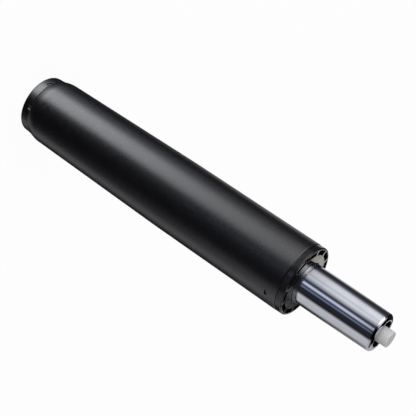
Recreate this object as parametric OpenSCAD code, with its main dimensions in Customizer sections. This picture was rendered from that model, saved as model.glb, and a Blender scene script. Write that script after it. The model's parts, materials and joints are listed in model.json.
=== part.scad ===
// Chair gas lift cylinder: a locking gas spring in a tapered pedestal column.
// It stands upright: z = 0 is the foot of the column, and +Z points to the release button.
// The lift is drawn fully lowered. Sizes are in millimetres and angles in degrees.

/* [Column] */
// Outer diameter of the straight part of the column
column_d = 50; // [48:0.5:54]
// Wall thickness of the column
column_wall = 2; // [1.6:0.1:2.4]
// Height of the steel column
column_h = 231.5; // [215:0.5:280]
// Height at which the base taper meets the straight part
base_taper_top = 127; // [90:1:150]
// Included angle of the base taper and of the seat taper
taper_angle = 1.438; // [1:0.002:2]
// Height of the swaged nose, up to its crease
nose_h = 7.6; // [7:0.1:9]
// Radial step from the nose out to the foot of the taper
nose_step = 1.65; // [1.2:0.05:2]
// Radial draft of the nose over its height
nose_draft = 0.5; // [0.2:0.05:0.8]
// Height of the rounded shoulder between nose and taper
shoulder_h = 8.4; // [5:0.1:10]
// Radius of the nose's bottom edge
nose_round = 1.4; // [0.8:0.1:1.8]
// Radial width of the lip turned in under the base plate
lip_w = 4; // [3:0.1:5]
// Chamfer on the column's top edge
column_chamfer = 0.4; // [0.2:0.05:0.8]

/* [Stakes] */
// Number of round stakes that hold the base plate
plate_stakes = 6; // [3:1:8]
// Height of the round stakes above the foot
plate_stake_z = 6.6; // [6:0.1:7]
// Diameter of a round stake on the nose's surface
plate_stake_d = 3.2; // [2.4:0.1:3.2]
// Number of long stakes that hold the guide bush
bush_stakes = 2; // [2:1:6]
// Distance of the long stakes below the column's top edge
bush_stake_drop = 7.6; // [6:0.1:12]
// Length of a long stake round the column
bush_stake_len = 4; // [2:0.1:5]
// Radius of the punch that makes a long stake
bush_stake_r = 1; // [0.8:0.05:1.2]
// Depth of every stake in the outer surface
stake_depth = 0.7; // [0.5:0.05:0.8]
// Height of every stake's bump on the inner wall
stake_bump = 0.5; // [0.3:0.05:0.6]
// Angle of the first round stake
plate_stake_turn = 48; // [0:1:60]
// Angle of the first long stake
bush_stake_turn = -40; // [-180:1:180]

/* [Guide bush] */
// Length of the bush inside the column
bush_h = 75; // [60:1:90]
// Height of the flange that caps the column
flange_h = 4.8; // [3.5:0.1:6]
// Radial set-in of the flange from the column's surface
flange_inset = 0.15; // [0.1:0.05:0.4]
// Radius of the flange's top edge
flange_round = 0.9; // [0.5:0.1:1.4]
// Radial step from the column's bore out to the edge of the pockets
rim_lap = 0.25; // [0.15:0.05:0.6]
// Number of pockets moulded into the end of the bush
pocket_count = 12; // [8:1:16]
// Angle of the first rib between the pockets
rib_turn = 28.5; // [0:0.5:30]
// Width of the ribs between the pockets
rib_w = 2; // [1.4:0.1:2.6]
// Radial width of the collar round the tube at the top
collar_w = 6; // [4.6:0.1:6.4]
// Height of that collar
collar_h = 7; // [5:0.5:12]
// Rise of the collar's top towards the tube
collar_rise = 0.4; // [0.2:0.1:1.2]
// Radial wall of the bush below the collar
bush_wall = 3.2; // [2.4:0.1:4]
// Height of the closed ring at the lower end of the bush
bush_foot_h = 5.5; // [4:0.5:8]
// Chamfer where the tube enters the bush
bush_chamfer = 0.5; // [0.3:0.1:1]
// Depth of the groove that takes the long stakes
bush_groove = 0.9; // [0.7:0.05:1.2]
// Height of that groove
bush_groove_h = 3.2; // [2.6:0.1:4]

/* [Pressure tube] */
// Outer diameter of the straight part of the pressure tube
tube_d = 28; // [27:0.1:29]
// Wall thickness of the pressure tube
tube_wall = 2; // [1.5:0.1:2.2]
// Length of tube that stands above the bush when lowered
tube_out = 59.3; // [50:0.1:75]
// Length of the seat taper at the top of the tube
seat_taper_h = 44; // [35:0.5:48]
// Diameter of the opening in the rolled rim
rim_hole_d = 19.2; // [17:0.1:20]
// Radius of the rolled rim's outer edge
rim_round = 1.9; // [1:0.1:2.2]
// Slope of the rim's end face, in degrees, up to its opening
rim_slope = 15; // [0:1:20]
// Width of the flat lip round that opening
rim_lip = 0.5; // [0.3:0.1:1]
// Diameter of the opening in the tail of the tube
tail_hole_d = 14; // [12:0.1:16]
// Radius of the tail's outer edge
tail_round = 1.5; // [0.8:0.1:2]
// Distance that the tube rises out of the column
stroke = 120; // [80:1:130]
// Piston clearance left at full height
end_gap = 3; // [2.5:0.1:6]

/* [Inner cylinder] */
// Radial gas passage between the two tubes
gas_gap = 1; // [0.6:0.05:1.2]
// Wall thickness of the inner cylinder
inner_wall = 1; // [0.8:0.05:1.2]
// Diameter of the gas ports near its lower end
port_d = 1.6; // [1:0.1:2]
// Number of gas ports
port_count = 4; // [2:1:6]

/* [Base plate] */
// Thickness of the base plate
plate_t = 7; // [6.5:0.1:9]
// Diameter of the recess for the washer and clip
plate_recess_d = 20; // [18:0.1:24]
// Depth of that recess
plate_recess = 3; // [2.8:0.1:3.4]
// Depth of the groove that takes the round stakes
plate_groove = 0.9; // [0.7:0.05:1.2]
// Height of that groove
plate_groove_h = 3; // [2.6:0.1:3.6]

/* [Thrust bearing] */
// Outer diameter of both races
race_d = 24; // [22:0.5:28]
// Thickness of a race
race_t = 2; // [1.6:0.1:2.6]
// Ball diameter
ball_d = 4; // [3:0.1:4.4]
// Number of balls
ball_count = 9; // [6:1:9]
// Depth of the ball track in a race
track_depth = 0.5; // [0.3:0.05:0.7]
// Axial gap between the cage and each race
cage_gap = 0.45; // [0.3:0.05:0.6]
// Radial set-in of the cage from the races' outer edge
cage_inset = 0.6; // [0.3:0.1:1]

/* [Rod and bumper] */
// Diameter of the piston rod
rod_d = 10; // [9:0.1:11]
// Diameter of the spigot at the rod's foot
spigot_d = 8; // [7:0.1:8.4]
// Height of the rod's foot above the floor
rod_foot_z = 0.6; // [0.4:0.1:1]
// Height of the rubber bumper
bumper_h = 12; // [10:0.5:16]
// Outer diameter of the bumper
bumper_d = 21; // [18:0.5:23]
// Depth of the bumper's waist
bumper_waist = 1.4; // [0.5:0.1:2]
// Height of the bumper's waist
bumper_waist_h = 8; // [5:0.1:9]
// Gap between bumper and tube when lowered
bumper_gap = 0.5; // [0.3:0.1:1]
// Outer diameter of the foot washer
foot_washer_d = 16; // [14:0.1:17]
// Thickness of the foot washer
foot_washer_t = 1.2; // [1:0.1:1.4]
// Outer diameter of the retaining clip
clip_d = 14.4; // [13:0.1:16]
// Thickness of the retaining clip
clip_t = 1; // [0.8:0.1:1.1]
// Radial width of the clip's band
clip_band = 1.9; // [1.5:0.1:2.2]
// Width of the clip's open mouth
clip_mouth = 6.4; // [5:0.1:7]
// Depth of the rod's clip groove
clip_groove = 0.8; // [0.6:0.05:1]

/* [Piston] */
// Diameter of the stud that carries the piston
stud_d = 8; // [6:0.1:8.4]
// Height of the piston
piston_h = 15.5; // [13.5:0.5:18]
// Section diameter of the piston ring
piston_ring_d = 3; // [2.4:0.1:3.2]
// Height of the piston ring's middle above the piston's foot
piston_ring_z = 4.5; // [3.4:0.1:5]
// Height of the guide band
band_h = 4; // [3:0.1:4.5]
// Thickness of the guide band
band_t = 1.2; // [0.8:0.1:1.5]
// Height of the guide band's middle above the piston's foot
band_z = 11; // [10.5:0.1:11]
// Outer diameter of the two piston washers
piston_washer_d = 17; // [14:0.1:18]
// Thickness of a piston washer
piston_washer_t = 1.5; // [1:0.1:2]
// Width across the flats of the piston nut
nut_flats = 13; // [11.5:0.1:14]
// Height of the piston nut
nut_h = 6.5; // [5:0.1:8]
// Length of stud above the nut
stud_proud = 1; // [0.5:0.1:2]

/* [Rod end seals] */
// Thickness of the closing disc
disc_t = 2.5; // [2:0.1:4]
// Height of the rod seal
seal_h = 7; // [6:0.1:9]
// Depth of the groove between the rod seal's lips
seal_groove = 4; // [2:0.1:5]
// Thickness of the backing ring
backing_t = 2; // [1.5:0.1:3]
// Height of the rod guide's flange
guide_flange_h = 8; // [6:0.1:10]
// Height of the rod guide's spigot in the inner cylinder
guide_spigot_h = 8; // [5:0.1:10]
// Section diameter of the rod guide's ring
guide_ring_d = 2.4; // [2:0.1:3]

/* [Valve and button] */
// Diameter of the release button
button_d = 11.1; // [10:0.1:12]
// Length of button that stands above the tube
button_out = 6.4; // [5:0.1:10]
// Distance that the button travels
button_travel = 4; // [2:0.1:4.5]
// Gap left under a pressed button
button_gap = 1; // [0.5:0.1:2]
// Radius of the button's top edge
button_round = 0.5; // [0.2:0.1:1]
// Diameter of the valve pin
pin_d = 6; // [5:0.1:6.4]
// Length of pin held in the button
pin_grip = 7.5; // [5:0.1:9]
// Radial depth of the pin's gas neck
pin_neck = 0.9; // [0.5:0.1:1.2]
// Length of the pin's gas neck
pin_neck_h = 4; // [3.5:0.1:4.5]
// Height of the pin's head
pin_head_h = 2.5; // [1.5:0.1:4]
// Height of the spacer sleeve under the rim
spacer_h = 12; // [10:0.5:18]
// Height of the valve body's sealing land
land_h = 27; // [25:0.5:32]
// Height of the valve body's neck at its cross ports
neck_h = 8; // [6:0.5:10]
// Height of the valve body's spigot in the inner cylinder
valve_spigot_h = 6; // [4:0.5:8]
// Thickness of the floor under the lower pin seal
valve_floor = 3; // [2:0.1:3.5]
// Section diameter of the valve body's rings
land_ring_d = 2.6; // [2:0.1:3]
// Section diameter of the two pin seals
pin_ring_d = 2.4; // [1.8:0.1:2.6]
// Height of the cell that holds a pin seal
pin_cell_h = 3; // [2.8:0.1:3.4]
// Height of the valve cap's stem
cap_stem_h = 8; // [5:0.5:10]
// Thickness of the valve cap's flange
cap_flange_t = 2; // [1.5:0.1:3]
// Radial overlap of the spacer sleeve on the cap's flange
cap_overlap = 1.1; // [0.6:0.1:1.4]
// Diameter of the valve body's cross ports
cross_port_d = 1.8; // [1.2:0.1:2.4]
// Radial step of the valve body's neck in from the inner cylinder's surface
neck_step = 0.4; // [0.2:0.05:0.6]

/* [Clearances] */
// Radial clearance of every sliding or turning fit
running = 0.06; // [0.02:0.01:0.1]
// Radial clearance of pieces that are fixed together
fixed = 0.05; // [0.02:0.01:0.1]
// Clearance between a ball and its track or cage
ball_play = 0.06; // [0.03:0.01:0.1]
// Radial clearance of the piston in the inner cylinder
piston_play = 0.1; // [0.08:0.01:0.2]
// Axial gap between faces that turn on each other
face_gap = 0.1; // [0.05:0.01:0.15]
// Radial clearance round what passes through without touching
pass_through = 0.5; // [0.3:0.05:0.8]

/* [Edges] */
// Small chamfer that breaks the edges of turned pieces
edge_break = 0.3; // [0.1:0.05:0.4]

/* [Hidden] */
$fn = 96;
arc_steps = 8;
cut_over = 1;
taper_slope = tan(taper_angle / 2);

// Column
column_r = column_d / 2;
column_bore_r = column_r - column_wall;
taper_foot_z = nose_h + shoulder_h;
taper_foot_r = column_r - (base_taper_top - taper_foot_z) * taper_slope;
nose_r = taper_foot_r - nose_step;
nose_foot_r = nose_r - nose_draft;
nose_bore_r = nose_foot_r - column_wall;
lip_hole_r = nose_bore_r - lip_w;
plate_stake_r = nose_foot_r + nose_draft * plate_stake_z / nose_h;
bush_stake_z = column_h - bush_stake_drop;

// Guide bush
column_top = column_h + flange_h;
bush_z = column_h - bush_h;
tube_r = tube_d / 2;
bush_bore_r = tube_r + running;
bush_r = column_bore_r - fixed;
flange_r = column_r - flange_inset;
rim_r = column_bore_r + rim_lap;
collar_r = bush_bore_r + collar_w;
collar_top = column_top + collar_rise;
bush_wall_r = bush_bore_r + bush_wall;

// Base plate, thrust bearing and rod foot, from the floor up
plate_z = column_wall;
plate_top = plate_z + plate_t;
plate_r = nose_bore_r - fixed;
recess_top = plate_z + plate_recess;
spigot_r = spigot_d / 2;
track_r = ball_d / 2 + ball_play;
race_gap = 2 * (track_r - track_depth);
race_r = race_d / 2;
race_hole_r = spigot_r + pass_through;
pitch_r = (race_hole_r + race_r) / 2;
cage_t = race_gap - 2 * cage_gap;
ball_z = plate_top + race_t + race_gap / 2;
upper_race_z = plate_top + race_t + race_gap;
rod_seat_z = upper_race_z + race_t;
foot_washer_top = recess_top - face_gap;
clip_top = foot_washer_top - foot_washer_t;
bumper_top = rod_seat_z + bumper_h;

// Lower end of the pressure tube, from its tail up
tube_z = bumper_top + bumper_gap;
tube_bore_r = tube_r - tube_wall;
disc_z = tube_z + tube_wall;
seal_z = disc_z + disc_t;
backing_z = seal_z + seal_h;
guide_z = backing_z + backing_t;
inner_z = guide_z + guide_flange_h;
guide_top = inner_z + guide_spigot_h;
rod_r = rod_d / 2;
rod_bore_r = rod_r + running;
inner_r = tube_bore_r - gas_gap;
inner_bore_r = inner_r - inner_wall;
tube_fill_r = tube_bore_r - fixed;

// Piston, above the rod guide by the stroke
piston_seat_z = guide_top + stroke + end_gap;
piston_z = piston_seat_z + piston_washer_t;
piston_top = piston_z + piston_h;
nut_z = piston_top + piston_washer_t;
stud_top = nut_z + nut_h + stud_proud;
stud_r = stud_d / 2;
piston_r = inner_bore_r - piston_play;

// Upper end of the pressure tube, from its rim down
tube_top = column_top + tube_out;
tube_tip_r = tube_r - seat_taper_h * taper_slope;
rim_hole_r = rim_hole_d / 2;
rim_lip_r = rim_hole_r + rim_lip;
spacer_top = tube_top - tube_wall;
valve_top = spacer_top - spacer_h;
land_z = valve_top - land_h;
neck_z = land_z - neck_h;
valve_z = neck_z - valve_spigot_h;
land_ring_z = [land_z + land_h / 4, land_z + land_h * 2 / 3];
cross_port_z = neck_z + neck_h / 2;
neck_r = inner_r - neck_step;
pin_r = pin_d / 2;
pin_bore_r = pin_r + running;
stack_r = pin_bore_r + pin_ring_d + fixed;
stack_z = valve_z + valve_floor;
pin_spacer_z = stack_z + pin_cell_h;
cap_flange_z = valve_top - cap_flange_t;
cap_stem_z = cap_flange_z - cap_stem_h;
upper_cell_z = cap_stem_z - pin_cell_h;
cap_flange_r = rim_hole_r + cap_overlap;
button_r = button_d / 2;
button_z = valve_top + button_gap + button_travel;
button_top = tube_top + button_out;
pin_top = button_z + pin_grip;
pin_head_z = valve_z - face_gap - pin_head_h;
pin_floor_r = pin_r + pass_through;
pin_head_r = pin_floor_r + pass_through;
pin_neck_z = cross_port_z - pin_neck_h / 2;

// Points of an arc about [x, y], from one angle to another
function arc(x, y, r, from, to) =
    [for (i = [0:arc_steps]) let (a = from + (to - from) * i / arc_steps) [x + r * cos(a), y + r * sin(a)]];

// Radius of the ball that leaves a dent of this width and depth
function dent_r(width, depth) = (width * width / 4 + depth * depth) / (2 * depth);

// Solid turned about the z axis from [radius, height] points
module turned(points) {
    rotate_extrude()
        polygon(points);
}

// Plain ring between two radii and two heights, with its four edges broken
module ring(inner, outer, low, high, edge = edge_break) {
    turned([[inner + edge, low], [outer - edge, low], [outer, low + edge], [outer, high - edge],
        [outer - edge, high], [inner + edge, high], [inner, high - edge], [inner, low + edge]]);
}

// Round sealing ring about the z axis
module o_ring(middle, section, z) {
    translate([0, 0, z])
        rotate_extrude()
            translate([middle, 0])
                circle(d = section);
}

// Copies its children evenly round the z axis
module around(count, first = 0) {
    for (i = [0:count - 1])
        rotate([0, 0, first + i * 360 / count])
            children();
}

// Radial hole from one radius out to another
module radial_hole(inner, outer, d, z) {
    translate([inner, 0, z])
        rotate([0, 90, 0])
            cylinder(d = d, h = outer - inner);
}

// Long stake's punch, lying along the column's surface at a radius
module stake_punch(r) {
    translate([r, 0, bush_stake_z])
        rotate([90, 0, 0])
            cylinder(r = bush_stake_r, h = bush_stake_len, center = true);
}

// Shoulder of the column, which leaves the nose in a crease and meets the taper smoothly
function shoulder(start_r, end_r) =
    [for (i = [0:arc_steps]) [start_r + (end_r - start_r) * sin(90 * i / arc_steps),
        nose_h + shoulder_h * i / arc_steps]];

// Pedestal column: a swaged nose, the base taper and a straight barrel
module outer_column() {
    outside = concat(
        arc(nose_foot_r - nose_round, nose_round, nose_round, -90, 0),
        shoulder(nose_r, taper_foot_r),
        [[column_r, base_taper_top], [column_r, column_h - column_chamfer],
        [column_r - column_chamfer, column_h]]);
    inside_up = concat(
        [[nose_bore_r, plate_z]],
        shoulder(nose_bore_r, taper_foot_r - column_wall),
        [[column_bore_r, base_taper_top], [column_bore_r, column_h]]);
    inside_down = [for (i = [len(inside_up) - 1:-1:0]) inside_up[i]];
    dent = dent_r(plate_stake_d, stake_depth);
    bump = dent_r(plate_stake_d - 2 * stake_bump, stake_bump);
    color("#1b1b1d")
        difference() {
            union() {
                turned(concat([[lip_hole_r, 0]], outside, inside_down, [[lip_hole_r, plate_z]]));
                around(plate_stakes, plate_stake_turn)
                    translate([nose_bore_r + bump - stake_bump, 0, plate_stake_z])
                        sphere(r = bump);
                around(bush_stakes, bush_stake_turn)
                    stake_punch(column_bore_r + bush_stake_r - stake_bump);
            }
            around(plate_stakes, plate_stake_turn)
                translate([plate_stake_r + dent - stake_depth, 0, plate_stake_z])
                    sphere(r = dent);
            around(bush_stakes, bush_stake_turn)
                stake_punch(column_r + bush_stake_r - stake_depth);
        }
}

// Sector-shaped pockets of the bush, open at the top
module bush_pockets(inner, outer, low, high) {
    translate([0, 0, low])
        linear_extrude(high - low)
            difference() {
                circle(r = outer);
                circle(r = inner);
                around(pocket_count, rib_turn)
                    translate([0, -rib_w / 2])
                        square([outer + cut_over, rib_w]);
            }
}

// Moulded bush that guides the pressure tube and caps the column
module guide_bush() {
    pocket_z = bush_z + bush_foot_h;
    groove_half = bush_groove_h / 2;
    color("#232325")
        difference() {
            turned(concat(
                [[bush_bore_r + bush_chamfer, bush_z], [bush_r - bush_chamfer, bush_z],
                [bush_r, bush_z + bush_chamfer], [bush_r, bush_stake_z - groove_half],
                [bush_r - bush_groove, bush_stake_z - groove_half],
                [bush_r - bush_groove, bush_stake_z + groove_half],
                [bush_r, bush_stake_z + groove_half], [bush_r, column_h],
                [flange_r - edge_break, column_h], [flange_r, column_h + edge_break]],
                arc(flange_r - flange_round, column_top - flange_round, flange_round, 0, 90),
                [[collar_r, column_top], [bush_bore_r + bush_chamfer, collar_top],
                [bush_bore_r, collar_top - bush_chamfer], [bush_bore_r, bush_z + bush_chamfer]]));
            bush_pockets(collar_r, rim_r, pocket_z, column_top + cut_over);
            bush_pockets(bush_wall_r, collar_r + edge_break, pocket_z, column_top - collar_h);
        }
}

// Steel plate staked in the nose, which carries the whole load
module base_plate() {
    groove_low = plate_stake_z - plate_groove_h / 2;
    groove_high = plate_stake_z + plate_groove_h / 2;
    groove_floor = plate_r - plate_groove;
    recess_r = plate_recess_d / 2;
    color("#8d9196")
        turned([[recess_r, plate_z], [plate_r - edge_break, plate_z], [plate_r, plate_z + edge_break],
            [plate_r, groove_low], [groove_floor, groove_low], [groove_floor, groove_high],
            [plate_r, groove_high], [plate_r, plate_top - edge_break], [plate_r - edge_break, plate_top],
            [spigot_r + running, plate_top], [spigot_r + running, recess_top], [recess_r, recess_top]]);
}

// Hardened race with its ball track
module race(hole_r, z) {
    difference() {
        ring(hole_r, race_r, z, z + race_t);
        o_ring(pitch_r, 2 * track_r, ball_z);
    }
}

// Race that rests on the base plate
module lower_race() {
    color("#a4a8ad")
        race(race_hole_r, plate_top);
}

// Race that turns with the piston rod
module upper_race() {
    color("#a4a8ad")
        race(spigot_r + fixed, upper_race_z);
}

// Moulded cage that spaces the balls
module ball_cage() {
    color("#c9b98a")
        difference() {
            ring(race_hole_r + cage_inset, race_r - cage_inset, ball_z - cage_t / 2, ball_z + cage_t / 2);
            around(ball_count)
                translate([pitch_r, 0, ball_z])
                    cylinder(r = track_r, h = cage_t + cut_over, center = true);
        }
}

// Bearing balls, each a separate solid
module bearing_balls() {
    color("#c3c7cc")
        around(ball_count)
            translate([pitch_r, 0, ball_z])
                sphere(d = ball_d);
}

// Rod with its clip groove, bearing spigot and piston stud
module piston_rod() {
    color("#b9bdc2")
        turned([[0, rod_foot_z], [spigot_r - edge_break, rod_foot_z], [spigot_r, rod_foot_z + edge_break],
            [spigot_r, clip_top - clip_t - fixed], [spigot_r - clip_groove, clip_top - clip_t - fixed],
            [spigot_r - clip_groove, clip_top], [spigot_r, clip_top], [spigot_r, rod_seat_z],
            [rod_r, rod_seat_z], [rod_r, piston_seat_z], [stud_r, piston_seat_z],
            [stud_r, stud_top - edge_break], [stud_r - edge_break, stud_top], [0, stud_top]]);
}

// Washer between the base plate and the retaining clip
module foot_washer() {
    color("#9da1a6")
        ring(spigot_r + fixed, foot_washer_d / 2, clip_top, foot_washer_top, edge_break / 2);
}

// Spring clip with three prongs in the rod's groove
module retaining_clip() {
    clip_r = clip_d / 2;
    prong_r = spigot_r - clip_groove + fixed;
    prong_w = clip_mouth / 2;
    color("#55585c")
        translate([0, 0, clip_top - clip_t])
            linear_extrude(clip_t)
                difference() {
                    union() {
                        difference() {
                            circle(r = clip_r);
                            circle(r = clip_r - clip_band);
                            translate([0, -clip_mouth / 2])
                                square([clip_r + cut_over, clip_mouth]);
                        }
                        for (turn = [90, 180, 270])
                            rotate(turn)
                                translate([0, -prong_w / 2])
                                    square([clip_r - clip_band / 2, prong_w]);
                    }
                    circle(r = prong_r);
                }
}

// Rubber bumper that meets the tail of the tube
module bumper() {
    bumper_r = bumper_d / 2;
    waist_z = rod_seat_z + bumper_h / 2;
    waist_arc = dent_r(bumper_waist_h, bumper_waist);
    waist_turn = asin(bumper_waist_h / 2 / waist_arc);
    waist_x = bumper_r - bumper_waist + waist_arc;
    color("#2a2a2a")
        turned(concat(
            [[rod_r + fixed, rod_seat_z], [bumper_r - edge_break, rod_seat_z],
            [bumper_r, rod_seat_z + edge_break]],
            arc(waist_x, waist_z, waist_arc, 180 + waist_turn, 180 - waist_turn),
            [[bumper_r, bumper_top - edge_break], [bumper_r - edge_break, bumper_top],
            [rod_r + fixed, bumper_top]]));
}

// Washer under the piston
module lower_piston_washer() {
    color("#9da1a6")
        ring(stud_r + fixed, piston_washer_d / 2, piston_seat_z, piston_z);
}

// Washer between the piston and its nut
module upper_piston_washer() {
    color("#9da1a6")
        ring(stud_r + fixed, piston_washer_d / 2, piston_top, nut_z);
}

// Piston with a ring groove and a shallow groove for the guide band
module piston() {
    ring_half = piston_ring_d / 2 + fixed;
    ring_floor = piston_r - piston_ring_d - fixed;
    band_half = band_h / 2 + fixed;
    band_floor = piston_r - band_t;
    ring_z = piston_z + piston_ring_z;
    band_mid = piston_z + band_z;
    color("#b08d4a")
        turned([[stud_r + fixed, piston_z], [piston_r - edge_break, piston_z],
            [piston_r, piston_z + edge_break], [piston_r, ring_z - ring_half],
            [ring_floor, ring_z - ring_half], [ring_floor, ring_z + ring_half],
            [piston_r, ring_z + ring_half], [piston_r, band_mid - band_half],
            [band_floor, band_mid - band_half], [band_floor, band_mid + band_half],
            [piston_r, band_mid + band_half], [piston_r, piston_top - edge_break],
            [piston_r - edge_break, piston_top], [stud_r + fixed, piston_top]]);
}

// Rubber ring that seals the piston
module piston_ring() {
    color("#1f1f1f")
        o_ring(piston_r - piston_ring_d / 2, piston_ring_d, piston_z + piston_ring_z);
}

// Low-friction band that centres the piston
module guide_band() {
    band_mid = piston_z + band_z;
    color("#d8d2c0")
        ring(piston_r - band_t + fixed, piston_r + fixed, band_mid - band_h / 2, band_mid + band_h / 2,
            edge_break / 2);
}

// Hexagon nut on the piston stud
module piston_nut() {
    corner_r = nut_flats / 2 / cos(30);
    color("#8f9398")
        intersection() {
            translate([0, 0, nut_z])
                cylinder(r = corner_r, h = nut_h, $fn = 6);
            ring(stud_r + fixed, corner_r, nut_z, nut_z + nut_h, edge_break * 2);
        }
}

// Chromed tube with a rolled rim, the seat taper and a turned-in tail
module pressure_tube() {
    rim_r0 = tube_tip_r - rim_round;
    slope_r = rim_r0 + rim_round * sin(rim_slope);
    slope_z = tube_top - (slope_r - rim_lip_r) * tan(rim_slope);
    tail_hole_r = tail_hole_d / 2;
    color("#d5d8dd")
        turned(concat(
            [[tail_hole_r, tube_z]],
            arc(tube_r - tail_round, tube_z + tail_round, tail_round, -90, 0),
            [[tube_r, tube_top - seat_taper_h]],
            arc(rim_r0, slope_z - rim_round * cos(rim_slope), rim_round, 0, 90 - rim_slope),
            [[rim_lip_r, tube_top], [rim_hole_r, tube_top], [rim_hole_r, spacer_top],
            [tube_bore_r, spacer_top], [tube_bore_r, disc_z], [tail_hole_r, disc_z]]));
}

// Thin tube that the piston runs in, with gas ports at its lower end
module inner_cylinder() {
    color("#a9adb2")
        difference() {
            ring(inner_bore_r, inner_r, inner_z, neck_z, edge_break / 2);
            around(port_count)
                radial_hole(inner_bore_r - cut_over, inner_r + cut_over, port_d, guide_top + port_d);
        }
}

// Disc that closes the tail of the tube
module closing_disc() {
    color("#9da1a6")
        ring(rod_r + pass_through, tube_fill_r, disc_z, seal_z);
}

// Rod seal with two lips open to the gas
module rod_seal() {
    lip = (tube_fill_r - rod_bore_r) / 4;
    groove_z = backing_z - seal_groove;
    color("#1c1c1c")
        turned([[rod_bore_r, seal_z], [tube_fill_r, seal_z], [tube_fill_r, backing_z],
            [tube_fill_r - lip, backing_z], [tube_fill_r - 1.5 * lip, groove_z],
            [rod_bore_r + 1.5 * lip, groove_z], [rod_bore_r + lip, backing_z], [rod_bore_r, backing_z]]);
}

// Ring that backs the rod seal
module backing_ring() {
    color("#d8d2c0")
        ring(rod_r + pass_through, tube_fill_r, backing_z, guide_z);
}

// Guide that carries the rod and centres the inner cylinder
module rod_guide() {
    groove_half = guide_ring_d / 2 + fixed;
    groove_mid = guide_z + guide_flange_h / 2;
    groove_floor = tube_fill_r - guide_ring_d - fixed;
    guide_spigot_r = inner_bore_r - fixed;
    color("#b5b9be")
        turned([[rod_bore_r, guide_z], [tube_fill_r, guide_z], [tube_fill_r, groove_mid - groove_half],
            [groove_floor, groove_mid - groove_half], [groove_floor, groove_mid + groove_half],
            [tube_fill_r, groove_mid + groove_half], [tube_fill_r, inner_z], [guide_spigot_r, inner_z],
            [guide_spigot_r, guide_top - edge_break], [guide_spigot_r - edge_break, guide_top],
            [rod_bore_r, guide_top]]);
}

// Rubber ring round the rod guide
module guide_ring() {
    color("#1f1f1f")
        o_ring(tube_fill_r - guide_ring_d / 2, guide_ring_d, guide_z + guide_flange_h / 2);
}

// Plug at the top of the gas chamber, bored for the pin and its seals
module valve_body() {
    groove_half = land_ring_d / 2 + fixed;
    groove_floor = tube_fill_r - land_ring_d - fixed;
    land_points = [for (z = land_ring_z, p = [[tube_fill_r, -1], [groove_floor, -1], [groove_floor, 1],
        [tube_fill_r, 1]]) [p[0], z + p[1] * groove_half]];
    color("#b5b9be")
        difference() {
            turned(concat(
                [[pin_floor_r, valve_z], [inner_bore_r - fixed, valve_z], [inner_bore_r - fixed, neck_z],
                [neck_r, neck_z], [neck_r, land_z], [tube_fill_r, land_z]],
                land_points,
                [[tube_fill_r, valve_top], [cap_flange_r + fixed, valve_top],
                [cap_flange_r + fixed, cap_flange_z], [stack_r, cap_flange_z], [stack_r, stack_z],
                [pin_floor_r, stack_z]]));
            around(2)
                radial_hole(stack_r - cut_over, neck_r + cut_over, cross_port_d, cross_port_z);
        }
}

// Two rubber rings on the valve body's land
module valve_body_rings() {
    color("#1f1f1f")
        for (z = land_ring_z)
            o_ring(tube_fill_r - land_ring_d / 2, land_ring_d, z);
}

// Two rubber rings that seal the pin, one each side of its spacer
module pin_seals() {
    color("#1f1f1f")
        for (z = [stack_z, upper_cell_z])
            o_ring(pin_bore_r + pin_ring_d / 2, pin_ring_d, z + pin_cell_h / 2);
}

// Sleeve that holds the pin seals apart and passes gas to the cross ports
module pin_spacer() {
    color("#d8d2c0")
        difference() {
            ring(pin_bore_r, stack_r - fixed, pin_spacer_z, upper_cell_z);
            around(2)
                radial_hole(pin_r - cut_over, stack_r + cut_over, cross_port_d, cross_port_z);
        }
}

// Cap that closes the seal stack and guides the pin
module valve_cap() {
    color("#1a1a1c")
        turned([[pin_bore_r, cap_stem_z], [stack_r - fixed, cap_stem_z], [stack_r - fixed, cap_flange_z],
            [cap_flange_r, cap_flange_z], [cap_flange_r, valve_top], [pin_bore_r, valve_top]]);
}

// Sleeve between the valve body and the rolled rim
module spacer_sleeve() {
    color("#303236")
        ring(rim_hole_r, tube_fill_r, valve_top, spacer_top);
}

// Pin with a head below, a gas neck and a plain end in the button
module valve_pin() {
    color("#b9bdc2")
        turned([[0, pin_head_z], [pin_head_r - edge_break, pin_head_z],
            [pin_head_r, pin_head_z + edge_break], [pin_head_r, valve_z - face_gap],
            [pin_r, valve_z - face_gap], [pin_r, pin_neck_z],
            [pin_r - pin_neck, pin_neck_z], [pin_r - pin_neck, pin_neck_z + pin_neck_h],
            [pin_r, pin_neck_z + pin_neck_h], [pin_r, pin_top - edge_break], [pin_r - edge_break, pin_top],
            [0, pin_top]]);
}

// White button that the seat's release lever presses
module release_button() {
    socket_top = pin_top + face_gap;
    color("#eceae4")
        turned(concat(
            [[pin_r + fixed, button_z], [button_r - edge_break, button_z],
            [button_r, button_z + edge_break]],
            arc(button_r - button_round, button_top - button_round, button_round, 0, 90),
            [[0, button_top], [0, socket_top], [pin_r + fixed, socket_top]]));
}

outer_column();
guide_bush();
base_plate();
lower_race();
ball_cage();
bearing_balls();
upper_race();
piston_rod();
foot_washer();
retaining_clip();
bumper();
lower_piston_washer();
piston();
piston_ring();
guide_band();
upper_piston_washer();
piston_nut();
pressure_tube();
inner_cylinder();
closing_disc();
rod_seal();
backing_ring();
rod_guide();
guide_ring();
valve_body();
valve_body_rings();
pin_seals();
pin_spacer();
valve_cap();
spacer_sleeve();
valve_pin();
release_button();
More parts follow.
